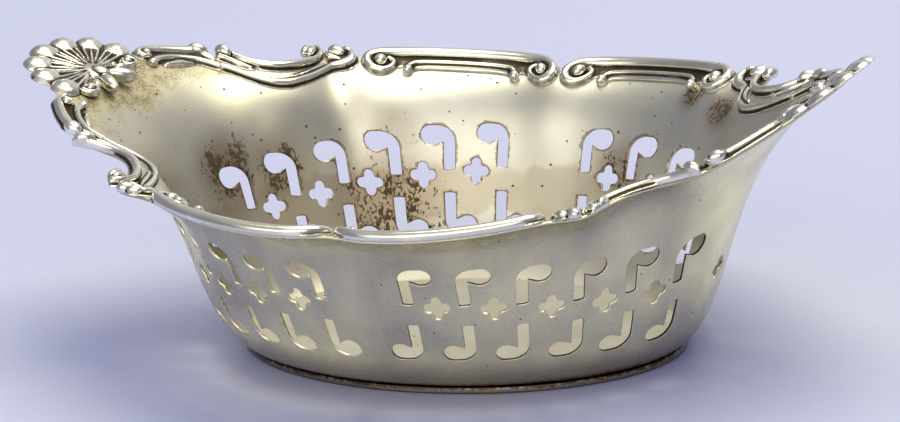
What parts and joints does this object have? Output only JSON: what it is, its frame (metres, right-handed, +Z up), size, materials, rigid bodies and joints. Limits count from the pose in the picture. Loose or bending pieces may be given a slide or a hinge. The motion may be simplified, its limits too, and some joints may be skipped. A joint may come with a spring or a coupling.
{
  "type": "bonbon dish",
  "caption": "Boat-shaped silver bonbon dish with a pierced bowl on a flat oval foot and a cast border of scrolls and shells.",
  "frame": {"origin": "centre of the foot on the plane it stands on", "axes": "+X along the dish towards the higher shell handle, +Y across it, +Z up"},
  "size_m": [0.153, 0.0998, 0.0535],
  "materials": {
    "sheet_silver": "worn polished silver plate with brown tarnish round the piercings",
    "border_silver": "bright worn silver plate, dark in the hollows",
    "foot_silver": "worn silver plate with copper showing along the edge"
  },
  "bodies": {
    "root": {"bowl": "sheet_silver", "foot_ring": "foot_silver", "long_scroll_rear_right": "border_silver", "shoulder_scroll_rear_right": "border_silver", "c_scroll_rear_right": "border_silver", "handle_edge_rear_right": "border_silver", "long_scroll_rear_left": "border_silver", "shoulder_scroll_rear_left": "border_silver", "c_scroll_rear_left": "border_silver", "handle_edge_rear_left": "border_silver", "long_scroll_front_left": "border_silver", "shoulder_scroll_front_left": "border_silver", "c_scroll_front_left": "border_silver", "handle_edge_front_left": "border_silver", "long_scroll_front_right": "border_silver", "shoulder_scroll_front_right": "border_silver", "c_scroll_front_right": "border_silver", "handle_edge_front_right": "border_silver", "shell_left": "border_silver", "shell_right": "border_silver"}
  },
  "joints": []
}
